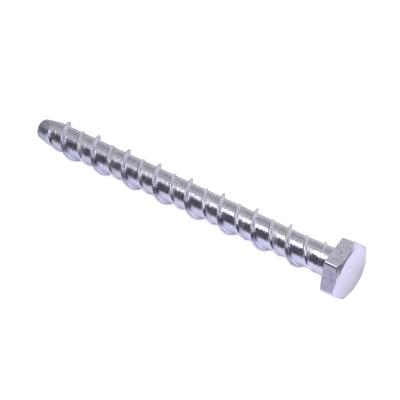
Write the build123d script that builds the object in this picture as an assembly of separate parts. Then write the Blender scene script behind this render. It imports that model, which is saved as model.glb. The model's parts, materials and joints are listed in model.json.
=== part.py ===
from build123d import *
import math
import os

# A hex-head screw anchor for concrete, forged and rolled from one piece of steel wire.
# It lies as it comes to rest: one flat of the head and the tall thread's lowest crest touch
# the surface. The head points along +X and the tip along -X, +Z is up, and the origin is the
# middle of the part's box, at the surface. Lengths are in millimetres, angles in degrees.

# Head: a plain hexagon, its top corners chamfered by a shallow cone
across_flats = 14.7
head_height = 4.6
chamfer_circle_diameter = 13.4
chamfer_angle = 30.0
corner_radius = 0.7

# Shank: measured from the bearing face, the underside of the head, to the tip
length_under_head = 100.0
core_diameter = 7.5
neck_diameter = 7.9
neck_length = 5.0
neck_cone_length = 4.5
under_head_fillet = 0.4

# Tip: a blunt wire end, a short steep nose in two steps and a long slow taper up to the core
tip_diameter = 3.0
nose_break_diameter = 4.7
nose_break_height = 0.35
nose_diameter = 5.9
nose_length = 1.0
taper_length = 4.8

# Thread: a right-hand tall ridge that cuts, and a low ridge midway between its turns
pitch = 10.82
thread_diameter = 10.0
low_thread_diameter = 8.3
thread_angle_at_head = 209.0
low_thread_lag = 183.0

# Ridge sections, all widths along the axis: a thin blade on a flared foot
crest_width = 0.32
blade_root_width = 0.62
foot_width = 1.25
foot_height = 0.25
low_crest_width = 0.24
low_foot_width = 1.1

# Where each ridge rises out of the taper and sinks into the neck, in turns and millimetres
thread_start_from_tip = 3.5
thread_run_in_turns = 0.33
thread_end_from_head = 3.5
thread_run_out_turns = 0.28
low_start_from_tip = 1.3
low_run_in_turns = 0.43
low_end_from_head = 2.9
low_run_out_turns = 0.24

# How deep a ridge is rooted in the core, and how far its crest starts below the surface
root_depth = 0.5
crest_sink = 0.12

core_radius = core_diameter / 2
neck_radius = neck_diameter / 2


def surface_radius(height):
    """Radius of the plain shank, without ridges, at a height below the bearing face."""
    from_tip = height + length_under_head
    taper_share = (from_tip - nose_length) / taper_length
    cone_share = (height + neck_length + neck_cone_length) / neck_cone_length
    if taper_share < 1:
        return nose_diameter / 2 + (core_radius - nose_diameter / 2) * max(taper_share, 0)
    return core_radius + (neck_radius - core_radius) * min(max(cone_share, 0), 1)


def plain_shank():
    """The turned form of the shank: nose, taper, core, neck and the fillet under the head."""
    tip = -length_under_head
    nose_top = tip + nose_length
    with BuildPart() as shank:
        with BuildSketch(Plane.XZ):
            with BuildLine():
                Polyline(
                    (0, tip),
                    (tip_diameter / 2, tip),
                    (nose_break_diameter / 2, tip + nose_break_height),
                    (nose_diameter / 2, nose_top),
                    (core_radius, nose_top + taper_length),
                    (core_radius, -neck_length - neck_cone_length),
                    (neck_radius, -neck_length),
                    (neck_radius, -under_head_fillet),
                )
                Bezier(
                    (neck_radius, -under_head_fillet),
                    (neck_radius, 0),
                    (neck_radius + under_head_fillet, 0),
                )
                Polyline(
                    (neck_radius + under_head_fillet, 0),
                    (neck_radius + under_head_fillet, head_height / 2),
                    (0, head_height / 2),
                    (0, tip),
                )
            make_face()
        revolve(axis=Axis.Z)
    return shank.part


def hex_head():
    """The hexagonal head, with softened corners and its top edge chamfered all round."""
    corner_reach = across_flats / math.sqrt(3)
    chamfer_radius = chamfer_circle_diameter / 2
    chamfer_drop = (corner_reach - chamfer_radius) * math.tan(math.radians(chamfer_angle))
    with BuildPart() as head:
        with BuildSketch():
            RegularPolygon(across_flats / 2, 6, major_radius=False)
            fillet(vertices(), corner_radius)
        extrude(amount=head_height)
        with BuildSketch(Plane.XZ):
            with BuildLine():
                Polyline(
                    (0, 0),
                    (corner_reach, 0),
                    (corner_reach, head_height - chamfer_drop),
                    (chamfer_radius, head_height),
                    (0, head_height),
                    close=True,
                )
            make_face()
        revolve(axis=Axis.Z, mode=Mode.INTERSECT)
    return head.part


def helix_line(start, rise, offset, radius, cone_angle, angle_at_head):
    """One helical edge of a ridge, at an axial offset from the ridge's middle."""
    line = Edge.make_helix(
        pitch / math.cos(math.radians(cone_angle)),
        rise,
        radius,
        center=(0, 0, start + offset),
        angle=cone_angle,
    )
    return line.rotate(Axis.Z, angle_at_head + 360 * start / pitch)


def ridge_faces(section, start, rise, sink_start, sink_end, angle_at_head):
    """The skin of one stretch of a ridge, whose depth in the core changes evenly along it."""
    cone_angle = math.degrees(math.atan((sink_start - sink_end) / rise))
    lines = [
        helix_line(start, rise, offset, radius - sink_start, cone_angle, angle_at_head)
        for offset, radius in section
    ]
    return [
        Face.make_surface_from_curves(line, lines[(number + 1) % len(lines)])
        for number, line in enumerate(lines)
    ]


def ridge_end(section, height, sink, angle_at_head):
    """The flat end of a ridge, inside the core."""
    outline = Polyline(
        [(radius - sink, 0, height + offset) for offset, radius in section], close=True
    )
    face = Face(Wire(outline.edges()))
    return face.rotate(Axis.Z, angle_at_head + 360 * height / pitch)


def ridge(section, start, end, run_in_turns, run_out_turns, angle_at_head):
    """A closed helical ridge that rises out of the shank at start and sinks back at end."""
    crest_radius = max(radius for _, radius in section)
    sink_in = crest_radius - surface_radius(start) + crest_sink
    sink_out = crest_radius - surface_radius(end) + crest_sink
    full_start = start + run_in_turns * pitch
    full_end = end - run_out_turns * pitch
    turns = math.ceil((full_end - full_start) / pitch)
    turn_rise = (full_end - full_start) / turns
    faces = ridge_faces(section, start, full_start - start, sink_in, 0, angle_at_head)
    for turn in range(turns):
        turn_start = full_start + turn * turn_rise
        faces += ridge_faces(section, turn_start, turn_rise, 0, 0, angle_at_head)
    faces += ridge_faces(section, full_end, end - full_end, 0, sink_out, angle_at_head)
    faces.append(ridge_end(section, start, sink_in, angle_at_head))
    faces.append(ridge_end(section, end, sink_out, angle_at_head))
    return Solid(Shell(faces))


def tall_ridge():
    """The ridge that cuts into the concrete: a thin blade on a flared foot."""
    root_radius = core_radius - root_depth
    flare = (foot_width - blade_root_width) / 2 * root_depth / foot_height
    half_section = [
        (foot_width / 2 + flare, root_radius),
        (blade_root_width / 2, core_radius + foot_height),
        (crest_width / 2, thread_diameter / 2),
    ]
    section = [(-offset, radius) for offset, radius in half_section] + half_section[::-1]
    return ridge(
        section,
        thread_start_from_tip - length_under_head,
        -thread_end_from_head,
        thread_run_in_turns,
        thread_run_out_turns,
        thread_angle_at_head,
    )


def low_ridge():
    """The low ridge between the tall one's turns: a small triangle with a narrow crest."""
    crest_radius = low_thread_diameter / 2
    slope = (low_foot_width - low_crest_width) / 2 / (crest_radius - core_radius)
    half_section = [
        (low_foot_width / 2 + slope * root_depth, core_radius - root_depth),
        (low_crest_width / 2, crest_radius),
    ]
    section = [(-offset, radius) for offset, radius in half_section] + half_section[::-1]
    return ridge(
        section,
        low_start_from_tip - length_under_head,
        -low_end_from_head,
        low_run_in_turns,
        low_run_out_turns,
        thread_angle_at_head - low_thread_lag,
    )


def lowest_full_crest():
    """Height of the tip-most full crest that faces the surface the anchor lies on."""
    facing_down = 270.0
    full_start = thread_start_from_tip - length_under_head + thread_run_in_turns * pitch
    turns = math.ceil((full_start / pitch) + (thread_angle_at_head - facing_down) / 360)
    return (turns + (facing_down - thread_angle_at_head) / 360) * pitch


def laid_down(upright):
    """The anchor at rest, its head on one flat and its tip lower than its head."""
    drop = across_flats / 2 - thread_diameter / 2
    tilt = math.degrees(math.atan(drop / -lowest_full_crest()))
    lying = (Plane.YZ * upright).rotate(Axis.Y, -tilt)
    box = lying.bounding_box()
    return lying.translate((-box.center().X, -box.center().Y, -box.min.Z))


def build():
    upright = plain_shank() + hex_head() + tall_ridge() + low_ridge()
    return laid_down(upright)


os.makedirs("parts", exist_ok=True)
anchor = build()
export_step(anchor, "parts/anchor_bolt.step")
print("volume", round(anchor.volume, 1), "solids", len(anchor.solids()))
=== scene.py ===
import json
import math

import bpy
from mathutils import Matrix, Vector, noise


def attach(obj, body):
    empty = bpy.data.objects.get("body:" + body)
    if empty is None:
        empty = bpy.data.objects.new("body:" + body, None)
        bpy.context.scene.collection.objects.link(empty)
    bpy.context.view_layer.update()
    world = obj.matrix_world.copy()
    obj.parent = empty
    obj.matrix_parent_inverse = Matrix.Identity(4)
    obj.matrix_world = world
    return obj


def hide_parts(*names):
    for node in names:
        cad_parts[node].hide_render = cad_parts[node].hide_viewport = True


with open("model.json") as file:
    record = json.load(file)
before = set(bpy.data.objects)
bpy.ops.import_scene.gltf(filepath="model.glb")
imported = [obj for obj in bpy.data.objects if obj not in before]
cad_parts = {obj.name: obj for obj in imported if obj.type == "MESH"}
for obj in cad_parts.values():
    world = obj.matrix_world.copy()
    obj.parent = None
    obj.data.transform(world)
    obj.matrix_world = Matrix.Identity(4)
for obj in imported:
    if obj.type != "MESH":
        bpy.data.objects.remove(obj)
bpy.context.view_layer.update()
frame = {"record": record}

# Shank: the steel wire after thread rolling. One pitch of its outline, with the tall ridge that
# cuts and the low ridge between its turns, is screwed up the axis as the rolling dies do it.
# Sizes are millimetres, with the bearing face at height 0 and the tip below it.
pitch = 10.82
core_radius = 3.75
tall_radius = 5.0
low_radius = 4.15
low_lag = 183
low_offset = pitch * low_lag / 360
tall_angle_at_head = math.radians(209)
turns = 11
steps_per_turn = 108

tall_side = [
    (0.80, 0.0),
    (0.735, 0.012),
    (0.68, 0.045),
    (0.61, 0.11),
    (0.535, 0.19),
    (0.465, 0.28),
    (0.405, 0.38),
    (0.36, 0.50),
    (0.32, 0.66),
    (0.29, 0.84),
    (0.265, 1.0),
    (0.23, 1.12),
    (0.16, 1.205),
    (0.05, 1.25),
]
low_side = [
    (0.78, 0.0),
    (0.60, 0.02),
    (0.46, 0.09),
    (0.24, 0.29),
    (0.15, 0.37),
    (0.06, 0.4),
]
swell_start = low_offset + 1.1
swell_end = 0.71 * pitch
swell_height = 0.03
swell_rise_length = 1.2
step_length = 0.3
step_margin = 0.2
step_spacing = 0.08
core_spacing = 0.55
outline_start = -pitch / 5
turn_merge_distance = 0.002


def eased(share):
    """A share from nought to one that starts and ends gently."""
    return share * share * (3 - 2 * share)


def swelling(offset):
    """How far the dies squeeze the core out on the head side of the low ridge."""
    if offset < swell_start or offset > swell_end + step_length:
        return 0.0
    if offset > swell_end:
        return swell_height * (1 - eased((offset - swell_end) / step_length))
    return swell_height * eased(min((offset - swell_start) / swell_rise_length, 1.0))


def pitch_outline():
    """The outline over one pitch, as (radius, height above the tall ridge's middle)."""
    tall = [(core_radius + rise, -offset) for offset, rise in tall_side]
    tall += [(core_radius + rise, offset) for offset, rise in reversed(tall_side)]
    low = [(core_radius + rise, low_offset - offset) for offset, rise in low_side]
    low += [(core_radius + rise, low_offset + offset) for offset, rise in reversed(low_side)]
    gaps = [
        (outline_start, tall[0][1]),
        (tall[-1][1], low[0][1]),
        (low[-1][1], swell_end - step_margin),
        (swell_end - step_margin, swell_end + step_length + step_margin),
        (swell_end + step_length + step_margin, outline_start + pitch),
    ]
    spacings = [core_spacing, core_spacing, core_spacing, step_spacing, core_spacing]
    cores = []
    for (low_end, high_end), spacing in zip(gaps, spacings):
        count = max(round((high_end - low_end) / spacing), 1)
        heights = [low_end + (high_end - low_end) * n / count for n in range(count + 1)]
        cores.append([(core_radius + swelling(height), height) for height in heights])
    return (
        cores[0][:-1] + tall + cores[1][1:-1] + low + cores[2][1:] + cores[3][1:] + cores[4][1:]
    )


outline = pitch_outline()
lowest_turn = -10
start_height = pitch * (lowest_turn - math.degrees(tall_angle_at_head) / 360)

bpy.ops.object.select_all(action="DESELECT")
bpy.ops.mesh.primitive_plane_add(size=1)
anchor = bpy.context.object
anchor.name = "anchor"
bpy.ops.object.mode_set(mode="EDIT")
bpy.ops.mesh.merge(type="CENTER")
bpy.ops.transform.translate(value=(outline[0][0], 0, start_height + outline[0][1]))
for (radius, height), (next_radius, next_height) in zip(outline, outline[1:]):
    bpy.ops.mesh.extrude_region_move(
        TRANSFORM_OT_translate={"value": (next_radius - radius, 0, next_height - height)}
    )
bpy.ops.object.mode_set(mode="OBJECT")
bpy.ops.object.modifier_add(type="SCREW")
rolling = anchor.modifiers[-1]
rolling.axis = "Z"
rolling.angle = math.tau
rolling.screw_offset = pitch
rolling.iterations = turns
rolling.steps = steps_per_turn
rolling.render_steps = steps_per_turn
bpy.ops.object.modifier_apply(modifier=rolling.name)
bpy.ops.object.mode_set(mode="EDIT")
bpy.ops.mesh.select_all(action="SELECT")
bpy.ops.mesh.remove_doubles(threshold=turn_merge_distance)
bpy.ops.mesh.normals_make_consistent(inside=False)
bpy.ops.object.mode_set(mode="OBJECT")

# Run-in and run-out: near the tip and under the head the ridges sink back into the wire.
# Every point of the rolled outline keeps its place along the axis and moves in towards the axis,
# until it meets the plain taper of the tip or the slightly thicker, unrolled neck.
tip_height = -100.0
nose_radius = 2.95
nose_height = 1.0
taper_height = 4.8
neck_radius = 3.95
neck_height = 5.0
neck_cone_height = 4.5
crest_sink = 0.12
tall_start = tip_height + 3.5
tall_run_in = 0.33 * pitch
tall_end = -3.5
tall_run_out = 0.28 * pitch
low_start = tip_height + 1.3
low_run_in = 0.43 * pitch
low_end = -2.9
low_run_out = 0.24 * pitch
run_out_curve = 1.4
foot_margin = 0.01
swollen_from = tip_height + 5
swollen_to = -8.0
tip_cut = tip_height + nose_height + 0.1
neck_cut = -2.85
cut_merge_distance = 0.005


def plain_radius(height):
    """Radius of the wire without its ridges."""
    taper_share = (height - tip_height - nose_height) / taper_height
    cone_share = (height + neck_height + neck_cone_height) / neck_cone_height
    if taper_share < 1:
        return nose_radius + (core_radius - nose_radius) * max(taper_share, 0)
    return core_radius + (neck_radius - core_radius) * min(max(cone_share, 0), 1)


def sinking(height, crest, start, run_in, end, run_out):
    """How deep a ridge has sunk where its middle lies at this height."""
    if height < start + run_in:
        share = (start + run_in - height) / run_in
        return share * (crest - plain_radius(start) + crest_sink)
    share = max((height - end + run_out) / run_out, 0)
    return share**run_out_curve * (crest - plain_radius(end) + crest_sink)


def tall_sinking(height):
    """The tall ridge starts on the taper and dies just under the head."""
    return sinking(height, tall_radius, tall_start, tall_run_in, tall_end, tall_run_out)


def low_sinking(height):
    """The low ridge starts nearly at the nose and dies on the neck."""
    return sinking(height, low_radius, low_start, low_run_in, low_end, low_run_out)


for vertex in anchor.data.vertices:
    x, y, height = vertex.co
    rolled_radius = math.hypot(x, y)
    turned = math.atan2(y, x)
    ridge_phase = height - pitch * (turned - tall_angle_at_head) / math.tau
    offset = (ridge_phase - outline_start) % pitch + outline_start
    near_tall = abs(offset) < tall_side[0][0] + foot_margin
    near_low = abs(offset - low_offset) < low_side[0][0] + foot_margin
    plain = plain_radius(height)
    rise = rolled_radius - core_radius
    if near_tall:
        rise = core_radius + rise - tall_sinking(height - offset) - plain
    elif near_low:
        rise = core_radius + rise - low_sinking(height - offset + low_offset) - plain
    elif height > swollen_to or height < swollen_from:
        rise = 0
    radius = plain + max(rise, 0)
    vertex.co = (x * radius / rolled_radius, y * radius / rolled_radius, height)

bpy.ops.object.mode_set(mode="EDIT")
bpy.ops.mesh.select_all(action="SELECT")
bpy.ops.mesh.bisect(plane_co=(0, 0, tip_cut), plane_no=(0, 0, 1), clear_inner=True)
bpy.ops.mesh.select_all(action="SELECT")
bpy.ops.mesh.bisect(plane_co=(0, 0, neck_cut), plane_no=(0, 0, 1), clear_outer=True)
bpy.ops.mesh.select_all(action="SELECT")
bpy.ops.mesh.remove_doubles(threshold=cut_merge_distance)
bpy.ops.object.mode_set(mode="OBJECT")

# Nose: the wire's cut end, squeezed to a steep blunt cone when the point is rolled. The open
# rim of the shank is drawn out ring by ring to the flat end, and the neck is drawn out the other
# way, through its fillet, into the place of the head.
nose_rings = [
    (2.93, 0.97),
    (2.88, 0.86),
    (2.79, 0.72),
    (2.66, 0.58),
    (2.50, 0.44),
    (2.30, 0.31),
    (2.06, 0.19),
    (1.78, 0.09),
    (1.50, 0.03),
    (1.20, 0.0),
    (0.80, 0.0),
    (0.40, 0.0),
]
neck_rings = [
    (3.95, -0.4),
    (3.975, -0.225),
    (4.05, -0.1),
    (4.175, -0.025),
    (4.36, 0.01),
    (4.36, 1.6),
]
rim_tolerance = 0.01


def select_rim(height):
    """Selects the open rim at a height, and nothing else."""
    bpy.ops.object.mode_set(mode="EDIT")
    bpy.ops.mesh.select_mode(type="EDGE")
    bpy.ops.mesh.select_all(action="DESELECT")
    bpy.ops.mesh.select_non_manifold(extend=False)
    bpy.ops.object.mode_set(mode="OBJECT")
    points = anchor.data.vertices
    for edge in anchor.data.edges:
        on_rim = all(abs(points[n].co.z - height) < rim_tolerance for n in edge.vertices)
        edge.select = edge.select and on_rim
    bpy.ops.object.mode_set(mode="EDIT")


def draw_out(radius, height, rings):
    """Extrudes the selected rim through rings of (radius, height) and closes the last one."""
    for next_radius, next_height in rings:
        bpy.ops.mesh.extrude_region_move(
            TRANSFORM_OT_translate={"value": (0, 0, next_height - height)}
        )
        ratio = next_radius / radius
        bpy.ops.transform.resize(value=(ratio, ratio, 1), center_override=(0, 0, next_height))
        radius, height = next_radius, next_height
    bpy.ops.mesh.edge_face_add()


select_rim(tip_cut)
draw_out(
    plain_radius(tip_cut), tip_cut, [(radius, tip_height + rise) for radius, rise in nose_rings]
)
select_rim(neck_cut)
draw_out(neck_radius, neck_cut, neck_rings)
bpy.ops.mesh.select_all(action="SELECT")
bpy.ops.mesh.normals_make_consistent(inside=False)
bpy.ops.object.mode_set(mode="OBJECT")

# Head: the end of the wire upset in a die to a plain hexagon, trimmed on its six flats and
# chamfered at the top. It grows out of the neck in one piece, its edges a little rounded.
across_flats = 14.7
head_height = 4.6
corner_radius = 0.7
chamfer_radius = 6.7
chamfer_slope = math.tan(math.radians(30))
head_edge = 0.1
edge_sharpness = math.radians(20)
spare = 0.5
cone_drop = head_height + 2.0
head_merge_distance = 0.0005

bpy.ops.object.select_all(action="DESELECT")
bpy.ops.mesh.primitive_cylinder_add(
    vertices=6,
    radius=across_flats / math.sqrt(3),
    depth=head_height + spare,
    location=(0, 0, (head_height + spare) / 2),
    rotation=(0, 0, math.radians(30)),
)
head = bpy.context.object
head.name = "head"
bpy.ops.object.transform_apply(location=True, rotation=True, scale=True)
bpy.ops.object.mode_set(mode="EDIT")
bpy.ops.mesh.select_all(action="DESELECT")
bpy.ops.object.mode_set(mode="OBJECT")
for edge in head.data.edges:
    ends = [head.data.vertices[n].co for n in edge.vertices]
    edge.select = abs(ends[0].z - ends[1].z) > head_height
bpy.ops.object.mode_set(mode="EDIT")
bpy.ops.mesh.select_mode(type="EDGE")
bpy.ops.mesh.bevel(offset=corner_radius * math.tan(math.radians(30)), segments=5)
bpy.ops.object.mode_set(mode="OBJECT")
bpy.ops.object.select_all(action="DESELECT")
bpy.ops.mesh.primitive_cone_add(
    vertices=240,
    radius1=chamfer_radius + cone_drop / chamfer_slope,
    radius2=chamfer_radius,
    depth=cone_drop,
    location=(0, 0, head_height - cone_drop / 2),
)
chamfer = bpy.context.object
chamfer.name = "chamfer"
bpy.ops.object.transform_apply(location=True, rotation=True, scale=True)


def combine(base, tool, how):
    """Joins a tool solid to a base, or keeps what both hold, and removes the tool."""
    bpy.ops.object.select_all(action="DESELECT")
    base.select_set(True)
    bpy.context.view_layer.objects.active = base
    bpy.ops.object.modifier_add(type="BOOLEAN")
    joint = base.modifiers[-1]
    joint.object = tool
    joint.operation = how
    joint.solver = "EXACT"
    bpy.ops.object.modifier_apply(modifier=joint.name)
    bpy.data.objects.remove(tool)


combine(head, chamfer, "INTERSECT")
bpy.ops.object.modifier_add(type="BEVEL")
edging = head.modifiers[-1]
edging.width = head_edge
edging.segments = 3
edging.limit_method = "ANGLE"
edging.angle_limit = edge_sharpness
edging.use_clamp_overlap = False
bpy.ops.object.modifier_apply(modifier=edging.name)
combine(anchor, head, "UNION")
bpy.ops.object.mode_set(mode="EDIT")
bpy.ops.mesh.select_all(action="SELECT")
bpy.ops.mesh.remove_doubles(threshold=head_merge_distance)
bpy.ops.mesh.normals_make_consistent(inside=False)
bpy.ops.object.mode_set(mode="OBJECT")

# Nose wrinkles: the squeezed end of the wire is creased like the neck of a purse. Its points move
# towards or away from the axis by about a tenth of a millimetre, less and less up the taper. The
# whole anchor is then shaded smooth, except at its sharpest edges.
wrinkle_height = tip_height + 2.4
wrinkle_fade = 1.6
wrinkle_depth = 0.10
cut_end_centre = 0.5
cut_end_fade = 1.5
grain_fineness = 9.0
crease_fineness = 3.0
crease_lengthening = 0.35
grain_lengthening = 0.9
grain_shift = 5
smooth_up_to = math.radians(38)
face_weight = 60

for vertex in anchor.data.vertices:
    x, y, height = vertex.co
    reach = math.hypot(x, y)
    if height > wrinkle_height or reach < cut_end_centre:
        continue
    up_share = min((wrinkle_height - height) / wrinkle_fade, 1.0)
    share = up_share * min(reach / cut_end_fade, 1.0)
    around = Vector((x, y, 0)) / reach
    crease_spot = around * crease_fineness + Vector((0, 0, height * crease_lengthening))
    grain_spot = around * grain_fineness + Vector((grain_shift, 0, height * grain_lengthening))
    crease = 0.5 + 0.7 * noise.noise(crease_spot) + 0.5 * noise.noise(grain_spot)
    radius = reach - wrinkle_depth * share * crease
    vertex.co = (around.x * radius, around.y * radius, height)

bpy.ops.object.shade_smooth_by_angle(angle=smooth_up_to)
bpy.ops.object.modifier_add(type="WEIGHTED_NORMAL")
evening = anchor.modifiers[-1]
evening.keep_sharp = True
evening.weight = face_weight
bpy.ops.object.modifier_apply(modifier=evening.name)

# Resting place: the anchor lies on one flat of its head and on the tall thread's lowest crest, so
# its axis climbs a little from the tip to the head, as the part's own mounts give it.
millimetre = 0.001

record = frame["record"]
head_top = next(mount for mount in record["mounts"] if mount["name"] == "head_top")
axis = Vector(head_top["axis"]).normalized()
across = Vector((0, 1, 0))
upward = axis.cross(across)
bearing_centre = Vector(head_top["pos_m"]) - axis * head_height * millimetre
turn = Matrix((across, upward, axis)).transposed()
place = Matrix.Translation(bearing_centre) @ turn.to_4x4() @ Matrix.Scale(millimetre, 4)
anchor.matrix_world = place
bpy.ops.object.select_all(action="DESELECT")
anchor.select_set(True)
bpy.context.view_layer.objects.active = anchor
bpy.ops.object.transform_apply(location=True, rotation=True, scale=True)

# Rolled zinc: the bright plating on the shank, where the streaks of the rolling dies show through.
# It is glossy on the plain wire, duller in a strip beside the low ridge, and greyer and rougher
# towards the nose. The flanks of the tall ridge are painted lighter, a painted highlight.
foot_tint = (0.73, 0.715, 0.835)
cool_tint = (0.715, 0.715, 0.845)
warm_tint = (0.74, 0.72, 0.82)
painted_highlight_tint = (0.93, 0.91, 0.985)
painted_highlight_cover = 0.6
flank_bottom = core_radius + 0.2
flank_full = core_radius + 0.36
flank_top = tall_radius - 0.14
crest_start = tall_radius - 0.05
nose_grey_full = tip_height + 2.0
nose_grey_end = tip_height + 6.0
dull_roughness = 0.36
streak_roughness = 0.14
speckle_roughness = 0.10
nose_roughness = 0.08
flank_roughness = 0.06
streak_relief = 0.45
broad_relief = 0.5
shank_relief_depth = 0.00006


def feed(tree, target, value):
    """Links a socket to an input, or sets a plain value on it."""
    if isinstance(value, bpy.types.NodeSocket):
        tree.links.new(value, target)
    else:
        target.default_value = value


def add_node(tree, kind, **settings):
    """Adds a shader node; a setting names a property, or an input by its number as in_0."""
    node = tree.nodes.new(kind)
    for name, value in settings.items():
        if name.startswith("in_"):
            feed(tree, node.inputs[int(name[3:])], value)
        else:
            setattr(node, name, value)
    return node


def calculated(tree, kind, *values):
    """A Math node of this kind on sockets or numbers, and its result."""
    node = add_node(tree, "ShaderNodeMath", operation=kind)
    for target, value in zip(node.inputs, values):
        feed(tree, target, value)
    return node.outputs[0]


def rescaled(tree, value, low, high, to_low, to_high):
    """Carries a value from one range to another."""
    carried = add_node(
        tree, "ShaderNodeMapRange", in_0=value, in_1=low, in_2=high, in_3=to_low, in_4=to_high
    )
    return carried.outputs[0]


def ramp(tree, value, stops):
    """A colour ramp on a value through (place, shade or colour) stops."""
    node = add_node(tree, "ShaderNodeValToRGB", in_0=value)
    bar = node.color_ramp
    while len(bar.elements) < len(stops):
        bar.elements.new(0.5)
    for element, (position, shade) in zip(bar.elements, stops):
        element.position = position
        shade = shade if isinstance(shade, tuple) else (shade, shade, shade)
        element.color = (*shade, 1)
    return node.outputs[0]


def mixed(tree, blend, amount, first, second):
    """Two colours, given as sockets or plainly, mixed or multiplied by an amount."""
    mix = add_node(tree, "ShaderNodeMix", data_type="RGBA", blend_type=blend, in_0=amount)
    for target, value in ((mix.inputs[6], first), (mix.inputs[7], second)):
        feed(tree, target, (*value, 1) if isinstance(value, tuple) else value)
    return mix.outputs[2]


def new_finish(name):
    """An empty finish with its metal shader and the anchor's own axes in millimetres."""
    finish = bpy.data.materials.new(name)
    finish.use_nodes = True
    tree = finish.node_tree
    metal = tree.nodes["Principled BSDF"]
    metal.inputs["Metallic"].default_value = 1.0
    place_on = add_node(tree, "ShaderNodeTexCoord")
    own_axes = add_node(
        tree, "ShaderNodeMapping", vector_type="TEXTURE", in_0=place_on.outputs["Object"],
        in_1=bearing_centre, in_2=turn.to_euler(), in_3=(millimetre,) * 3,
    )
    return finish, tree, metal, own_axes.outputs[0]


def off_axis(tree, parts):
    """The offset from the anchor's axis as a vector, and its length."""
    offset = add_node(
        tree, "ShaderNodeCombineXYZ", in_0=parts.outputs[0], in_1=parts.outputs[1], in_2=0.0
    ).outputs[0]
    length = add_node(tree, "ShaderNodeVectorMath", operation="LENGTH", in_0=offset)
    return offset, length.outputs[1]


def grainy(tree, spot, scale, detail, breakup):
    """Noise at a spot: coarse or fine by its scale, crisp by its detail and breakup."""
    noise_node = add_node(tree, "ShaderNodeTexNoise", in_0=spot)
    noise_node.inputs["Scale"].default_value = scale
    noise_node.inputs["Detail"].default_value = detail
    noise_node.inputs["Roughness"].default_value = breakup
    return noise_node.outputs[0]


def emboss(tree, metal, relief, depth, strength):
    """Gives the metal a fine relief of a depth in metres, at a strength or by a mask."""
    bump = add_node(tree, "ShaderNodeBump")
    feed(tree, bump.inputs["Strength"], strength)
    bump.inputs["Distance"].default_value = depth
    tree.links.new(relief, bump.inputs["Height"])
    tree.links.new(bump.outputs[0], metal.inputs["Normal"])


zinc, tree, metal, own = new_finish("rolled_zinc")
parts = add_node(tree, "ShaderNodeSeparateXYZ", in_0=own)
along = parts.outputs[2]
offset_from_axis, from_axis = off_axis(tree, parts)
outward = add_node(tree, "ShaderNodeVectorMath", operation="NORMALIZE", in_0=offset_from_axis)
turned = calculated(tree, "ARCTAN2", parts.outputs[1], parts.outputs[0])
turned_share = calculated(tree, "MULTIPLY", turned, -1 / math.tau)
past_tall = calculated(tree, "MULTIPLY_ADD", along, 1 / pitch, turned_share)
past_tall = calculated(tree, "ADD", past_tall, tall_angle_at_head / math.tau)
past_tall = calculated(tree, "FRACT", past_tall)


def streaks(spread, fineness, detail, shift):
    """Noise drawn out round the shank, the way the dies rub it: spread round, fine along it."""
    height = calculated(tree, "MULTIPLY_ADD", along, fineness, shift)
    lift = add_node(tree, "ShaderNodeCombineXYZ", in_0=0.0, in_1=0.0, in_2=height)
    spot = add_node(
        tree, "ShaderNodeVectorMath", operation="MULTIPLY_ADD",
        in_0=outward.outputs[0], in_1=(spread,) * 3, in_2=lift.outputs[0],
    )
    return grainy(tree, spot.outputs[0], scale=1.0, detail=detail, breakup=0.6)


fine_streaks = streaks(spread=0.8, fineness=1.25, detail=6.0, shift=0.0)
broad_streaks = streaks(spread=1.1, fineness=0.42, detail=3.0, shift=40.0)
mottle = grainy(tree, own, scale=1.1, detail=4.0, breakup=0.55)
speckle = grainy(tree, own, scale=2.4, detail=3.0, breakup=0.6)
flank = calculated(
    tree, "MINIMUM",
    rescaled(tree, from_axis, flank_bottom, flank_full, 0.0, 1.0),
    rescaled(tree, from_axis, flank_top, crest_start, 1.0, 0.0),
)
near_nose = rescaled(tree, along, nose_grey_full, nose_grey_end, 1.0, 0.0)

dull_strip = ramp(tree, past_tall, [
    (0.0, 0.0),
    (0.54, 0.0),
    (0.56, 0.85),
    (0.62, 0.75),
    (0.66, 0.3),
    (0.695, 0.2),
    (0.708, 1.0),
    (0.725, 0.0),
])
dull_share = rescaled(tree, broad_streaks, 0.38, 0.58, 0.2, 1.0)
dull = calculated(tree, "MULTIPLY", dull_strip, dull_share)
streaky = rescaled(tree, fine_streaks, 0.5, 0.72, 0.0, 1.0)
speckled = rescaled(tree, speckle, 0.45, 0.7, 0.0, 1.0)
roughness = rescaled(tree, broad_streaks, 0.35, 0.65, 0.15, 0.22)
roughness = calculated(tree, "MULTIPLY_ADD", streaky, streak_roughness, roughness)
tip_wear = rescaled(tree, along, tip_height, 0.0, 0.05, -0.02)
roughness = calculated(tree, "ADD", roughness, tip_wear)
for mask, added in (
    (dull, dull_roughness),
    (speckled, speckle_roughness),
    (near_nose, nose_roughness),
    (flank, flank_roughness),
):
    roughness = calculated(tree, "MULTIPLY_ADD", mask, added, roughness)
tree.links.new(roughness, metal.inputs["Roughness"])

shade = ramp(tree, past_tall, [
    (0.04, foot_tint),
    (0.10, cool_tint),
    (0.45, cool_tint),
    (0.53, warm_tint),
    (0.95, warm_tint),
])
streak_tone = ramp(tree, fine_streaks, [(0.35, 0.89), (0.65, 1.0)])
patches = ramp(tree, mottle, [(0.36, (0.88, 0.89, 0.85)), (0.58, 1.0)])
spots = ramp(tree, speckle, [(0.38, 0.90), (0.56, 1.0)])
# The colour grows darker towards the nose.
nose_darkening = ramp(tree, near_nose, [(0.0, 1.0), (1.0, 0.70)])
# Painted highlight: the flanks of the tall ridge get a lighter colour than the rest of the shank.
flank_painted_lightening = ramp(tree, flank, [(0.0, 0.80), (1.0, (1.0, 0.99, 1.02))])
brighter = rescaled(tree, along, tip_height, 0.0, 1.25, 1.43)
brighter = add_node(
    tree, "ShaderNodeCombineColor", in_0=brighter, in_1=brighter, in_2=brighter
).outputs[0]
for layer in (streak_tone, patches, spots, nose_darkening, flank_painted_lightening, brighter):
    shade = mixed(tree, "MULTIPLY", 1.0, shade, layer)
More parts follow.
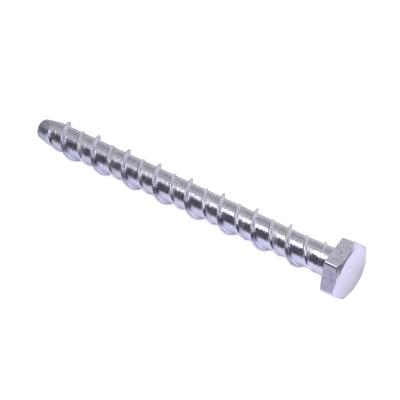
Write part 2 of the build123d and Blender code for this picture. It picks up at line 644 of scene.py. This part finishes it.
# Painted highlight: the flanks are mixed towards a pale lavender.
painted_highlight_share = calculated(tree, "MULTIPLY", flank, painted_highlight_cover)
shade = mixed(tree, "MIX", painted_highlight_share, shade, painted_highlight_tint)
tree.links.new(shade, metal.inputs["Base Color"])

relief = calculated(tree, "MULTIPLY_ADD", fine_streaks, streak_relief, mottle)
relief = calculated(tree, "MULTIPLY_ADD", broad_streaks, broad_relief, relief)
evenness = rescaled(tree, flank, 0.0, 1.0, 1.0, 0.2)
emboss(tree, metal, relief, shank_relief_depth, evenness)

# Satin zinc: the plating on the head. Its six flats keep the grain of the trimming die and cloud
# over in patches, its top is even and painted lighter and bluer, a painted reflection of the pale
# table, and its chamfer and corners are rubbed bright.
rubbed_tint = (0.81, 0.795, 0.87)
satin_roughness = 0.36
rubbed_smoothing = -0.18
chamfer_depth_full = 0.04
chamfer_depth_end = 0.12
rim_blend = 0.05
top_start = head_height - 0.06
top_full = head_height - 0.02
corner_start = 8.08
corner_full = 8.22
drawn_stretch = (4.4, 4.4, 0.5)
drawn_relief = 0.35
head_relief_depth = 0.00005

satin, tree, metal, own = new_finish("satin_zinc")
parts = add_node(tree, "ShaderNodeSeparateXYZ", in_0=own)
height = parts.outputs[2]
from_axis = off_axis(tree, parts)[1]
clouds = grainy(tree, own, scale=0.9, detail=6.0, breakup=0.65)
drawn_spot = add_node(tree, "ShaderNodeMapping", in_0=own, in_3=drawn_stretch)
drawn = grainy(tree, drawn_spot.outputs[0], scale=1.0, detail=5.0, breakup=0.5)
cone_height = calculated(
    tree, "MULTIPLY_ADD", from_axis, -chamfer_slope, head_height + chamfer_radius * chamfer_slope
)
under_cone = calculated(tree, "SUBTRACT", cone_height, height)
on_cone = rescaled(tree, under_cone, chamfer_depth_full, chamfer_depth_end, 1.0, 0.0)
past_rim = rescaled(
    tree, from_axis, chamfer_radius - rim_blend, chamfer_radius + rim_blend, 0.0, 1.0
)
on_chamfer = calculated(tree, "MULTIPLY", on_cone, past_rim)
on_top = rescaled(tree, height, top_start, top_full, 0.0, 1.0)
on_corner = rescaled(tree, from_axis, corner_start, corner_full, 0.0, 1.0)
rubbed = calculated(tree, "MAXIMUM", on_chamfer, on_corner)
flat_tone = ramp(tree, drawn, [(0.36, (0.65, 0.625, 0.735)), (0.62, (0.85, 0.825, 0.945))])
cloud_tone = ramp(tree, clouds, [(0.38, (0.78, 0.78, 0.80)), (0.58, 1.0)])
# Painted reflection: the top is lighter and bluer than the flats.
top_tone_and_painted_reflection = ramp(tree, clouds, [(0.38, (0.86, 0.85, 0.93)), (0.6, (0.92, 0.91, 0.985))])
shade = mixed(tree, "MULTIPLY", 1.0, flat_tone, cloud_tone)
shade = mixed(tree, "MIX", on_top, shade, top_tone_and_painted_reflection)
shade = mixed(tree, "MIX", rubbed, shade, rubbed_tint)
tree.links.new(shade, metal.inputs["Base Color"])
roughness = calculated(tree, "MULTIPLY_ADD", rubbed, rubbed_smoothing, satin_roughness)
tree.links.new(roughness, metal.inputs["Roughness"])
relief = calculated(tree, "MULTIPLY_ADD", drawn, drawn_relief, clouds)
emboss(tree, metal, relief, head_relief_depth, 1.0)

# Nose zinc: the plating on the cut end and the squeezed cone. Both are rough under it, so they
# stay grey and duller than the rolled shank, with painted shade as dark lines in the creases.
crease_painted_shade = (0.30, 0.29, 0.33)
nose_shade = (0.64, 0.625, 0.70)
nose_roughness_low = 0.30
nose_roughness_high = 0.46
crease_stretch = (2.4, 2.4, 0.5)
crease_relief = 1.2
nose_relief_depth = 0.00012

grey, tree, metal, own = new_finish("rough_nose_zinc")
pitted = grainy(tree, own, scale=2.2, detail=6.0, breakup=0.7)
along_creases = add_node(tree, "ShaderNodeMapping", in_0=own, in_3=crease_stretch)
creases = grainy(tree, along_creases.outputs[0], scale=1.0, detail=4.0, breakup=0.5)
# Painted shade: the grooves of the creases are coloured darker.
shade = ramp(tree, creases, [(0.38, crease_painted_shade), (0.62, nose_shade)])
tree.links.new(shade, metal.inputs["Base Color"])
roughness = rescaled(tree, pitted, 0.3, 0.7, nose_roughness_low, nose_roughness_high)
tree.links.new(roughness, metal.inputs["Roughness"])
relief = calculated(tree, "MULTIPLY_ADD", creases, crease_relief, pitted)
emboss(tree, metal, relief, nose_relief_depth, 1.0)

# The whole anchor: one forged piece whose three finishes meet without a joint. The head's finish
# starts just above its underside, and the nose's ends a little way up the taper.
satin_from = 0.2
grey_up_to = tip_height + 1.9

for finish in (zinc, satin, grey):
    anchor.data.materials.append(finish)
for face in anchor.data.polygons:
    from_bearing = (face.center - bearing_centre).dot(axis) / millimetre
    if from_bearing > satin_from:
        face.material_index = 1
    elif from_bearing < grey_up_to:
        face.material_index = 2
    else:
        face.material_index = 0

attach(anchor, "root")
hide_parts("anchor_bolt")

# Floor: a plain pale table top of matt paint, wide enough to fill the picture. It is white to the
# eye, with the anchor's shadow on it. The metal mirrors it in greys of its own, painted light and
# shade: darkest under the anchor, paler in front, behind and beside the head, and dark far off.
floor_size = 6
floor_drop = 0.00005
paint_roughness = 0.9
seen_glow = 0.78
mirrored_glow = 0.48
paint_colour = (0.85, 0.85, 0.88)
beside_head_painted_light = (0.545, 0.54, 0.66)
beside_head_from = 0.054
beside_head_full = 0.058
strips_depth = 0.125

bpy.ops.object.select_all(action="DESELECT")
bpy.ops.mesh.primitive_plane_add(size=floor_size, location=(0, 0, -floor_drop))
floor = bpy.context.object
floor.name = "floor"
table_top = bpy.data.materials.new("table_top")
table_top.use_nodes = True
tree = table_top.node_tree
paint = tree.nodes["Principled BSDF"]
paint.inputs["Roughness"].default_value = paint_roughness
paint.inputs["Specular IOR Level"].default_value = 0.0
rays = add_node(tree, "ShaderNodeLightPath")
mirrored = calculated(
    tree, "MAXIMUM", rays.outputs["Is Glossy Ray"], rays.outputs["Is Transmission Ray"]
)
spot = add_node(tree, "ShaderNodeTexCoord")
spot_parts = add_node(tree, "ShaderNodeSeparateXYZ", in_0=spot.outputs["Object"])
to_the_head, to_the_back = spot_parts.outputs[0], spot_parts.outputs[1]
front_to_back = calculated(tree, "MULTIPLY_ADD", to_the_back, 1 / strips_depth, 0.5)
# Painted light and shade seen only in the metal: darkest under the anchor, paler in front and far
# behind.
painted_shade_strips = ramp(tree, front_to_back, [
    (0.40, (0.55, 0.555, 0.64)),
    (0.44, (0.52, 0.525, 0.605)),
    (0.462, (0.46, 0.463, 0.52)),
    (0.475, (0.41, 0.412, 0.45)),
    (0.495, (0.37, 0.37, 0.39)),
    (0.515, (0.40, 0.40, 0.41)),
    (0.54, (0.30, 0.295, 0.295)),
    (0.63, (0.44, 0.435, 0.435)),
    (0.95, (0.46, 0.455, 0.46)),
])
# Painted light: paler beside the head.
beside_head = rescaled(tree, to_the_head, beside_head_from, beside_head_full, 0.0, 1.0)
# Painted shade far off to the right and to the front.
far_right = ramp(tree, to_the_head, [(0.085, 1.0), (0.15, (0.07, 0.065, 0.10))])
from_front = calculated(tree, "ADD", to_the_back, 1.0)
far_front_painted_shade = ramp(tree, from_front, [(0.65, (0.16, 0.15, 0.19)), (0.86, 1.0)])
mirrored_colour = mixed(tree, "MIX", beside_head, painted_shade_strips, beside_head_painted_light)
for shading in (far_right, far_front_painted_shade):
    mirrored_colour = mixed(tree, "MULTIPLY", 1.0, mirrored_colour, shading)
colour = mixed(tree, "MIX", mirrored, paint_colour, mirrored_colour)
glow = mixed(tree, "MIX", mirrored, (1.0, 1.0, 1.0), mirrored_colour)
tree.links.new(colour, paint.inputs["Base Color"])
tree.links.new(glow, paint.inputs["Emission Color"])
glow_level = calculated(tree, "MULTIPLY", rays.outputs["Is Camera Ray"], seen_glow)
glow_level = calculated(tree, "MULTIPLY_ADD", mirrored, mirrored_glow, glow_level)
tree.links.new(glow_level, paint.inputs["Emission Strength"])
floor.data.materials.append(table_top)

# Light: a room whose pale and dark bands show in the bright metal as stripes along the shank. They
# run round the anchor's length and differ between the tip's side and the head's. The metal mirrors
# two soft lamps, overhead and on the head's side, but not the third, which lights the table.
far_left_bands = [
    (-110, (0.42, 0.42, 0.42)),
    (-76, (0.34, 0.34, 0.34)),
    (-60, (0.20, 0.20, 0.20)),
    (-26, (0.30, 0.30, 0.31)),
    (20, (0.34, 0.33, 0.35)),
    (28, (0.15, 0.14, 0.17)),
    (76, (0.11, 0.10, 0.13)),
    (84, (0.50, 0.50, 0.56)),
]
left_bands = [
    (-110, (0.64, 0.64, 0.63)),
    (-90, (0.65, 0.65, 0.65)),
    (-76, (0.55, 0.55, 0.555)),
    (-60, (0.36, 0.36, 0.36)),
    (-42, (0.46, 0.455, 0.465)),
    (-26, (0.56, 0.55, 0.565)),
    (20, (0.54, 0.53, 0.55)),
    (25, (0.095, 0.083, 0.108)),
    (88, (0.095, 0.083, 0.108)),
    (92, (0.60, 0.60, 0.68)),
]
right_bands = [
    (-110, (0.66, 0.66, 0.66)),
    (-60, (0.66, 0.66, 0.68)),
    (-20, (0.66, 0.65, 0.68)),
    (20, (0.64, 0.63, 0.66)),
    (31, (0.45, 0.44, 0.47)),
    (40, (0.12, 0.11, 0.14)),
    (85, (0.11, 0.10, 0.13)),
    (98, (0.40, 0.40, 0.46)),
]
far_right_bands = [
    (-80, (0.85, 0.84, 0.90)),
    (-60, (0.50, 0.49, 0.53)),
    (-40, (0.20, 0.19, 0.22)),
    (-20, (0.10, 0.095, 0.12)),
    (5, (0.08, 0.075, 0.10)),
    (24, (0.06, 0.055, 0.085)),
    (40, (0.02, 0.018, 0.035)),
    (68, (0.02, 0.018, 0.035)),
    (84, (0.15, 0.14, 0.20)),
    (100, (0.27, 0.26, 0.34)),
]

room = bpy.data.worlds.new("room")
bpy.context.scene.world = room
room.use_nodes = True
tree = room.node_tree
walls = tree.nodes["Background"]
looking = add_node(tree, "ShaderNodeTexCoord")
look_parts = add_node(tree, "ShaderNodeSeparateXYZ", in_0=looking.outputs["Generated"])
rightward, backward, skyward = look_parts.outputs
frontward = calculated(tree, "MULTIPLY", backward, -1.0)
lean = calculated(tree, "ARCTAN2", frontward, skyward)
lean_share = calculated(tree, "MULTIPLY_ADD", lean, 1 / math.tau, 0.5)


def banded(bands):
    """The walls' colour from bands of (degrees from straight up to the front, colour)."""
    return ramp(tree, lean_share, [(angle / 360 + 0.5, colour) for angle, colour in bands])


shade = banded(far_left_bands)
for start, end, bands in (
    (-0.92, -0.80, left_bands),
    (-0.25, 0.15, right_bands),
    (0.48, 0.56, far_right_bands),
):
    beyond = rescaled(tree, rightward, start, end, 0.0, 1.0)
    shade = mixed(tree, "MIX", beyond, shade, banded(bands))
rays = add_node(tree, "ShaderNodeLightPath")
backdrop = mixed(tree, "MIX", rays.outputs["Is Camera Ray"], shade, (1.0, 1.0, 1.0))
tree.links.new(backdrop, walls.inputs["Color"])
walls.inputs["Strength"].default_value = 1.0


def soft_lamp(name, place, length, width, power, tilt=0.0):
    """A flat lamp that faces down, or is tilted towards the tip's side."""
    bpy.ops.object.select_all(action="DESELECT")
    bpy.ops.object.light_add(type="AREA", location=place, rotation=(0, tilt, 0))
    lamp = bpy.context.object
    lamp.name = name
    lamp.data.shape = "RECTANGLE"
    lamp.data.size = length
    lamp.data.size_y = width
    lamp.data.energy = power
    return lamp


soft_lamp("overhead_lamp", (-0.005, -0.068, 0.5), length=0.54, width=0.222, power=0.71)
soft_lamp(
    "right_lamp", (0.456, 0.03, 0.39), length=0.08, width=0.28, power=0.18,
    tilt=math.radians(49.5),
)
table_lamp = soft_lamp("table_lamp", (0.15, 0.1, 0.9), length=0.7, width=0.7, power=5.2)
table_lamp.visible_glossy = False

# Camera: it stands at the photograph's viewing angle, in front of the head and well above it, and
# leans so that the anchor runs down the picture from the tip at the left to the head.
azimuth = math.radians(49.213)
elevation = math.radians(53.518)
roll = math.radians(-17.163)
camera_place = (0.193374, -0.163230, 0.344868)
focal_length = 141.647

towards = Vector((
    math.sin(azimuth) * math.cos(elevation),
    -math.cos(azimuth) * math.cos(elevation),
    math.sin(elevation),
))
level = Vector((math.cos(azimuth), math.sin(azimuth), 0))
right = math.cos(roll) * level + math.sin(roll) * towards.cross(level)
bpy.ops.object.camera_add(location=camera_place)
camera = bpy.context.object
camera.rotation_mode = "QUATERNION"
view_axes = Matrix((right, towards.cross(right), towards)).transposed()
camera.rotation_quaternion = view_axes.to_quaternion()
camera.data.lens = focal_length
camera.data.sensor_width = 36
camera.data.clip_start = 0.01
camera.data.clip_end = 20
bpy.context.scene.camera = camera
bpy.context.scene.view_settings.view_transform = "Standard"
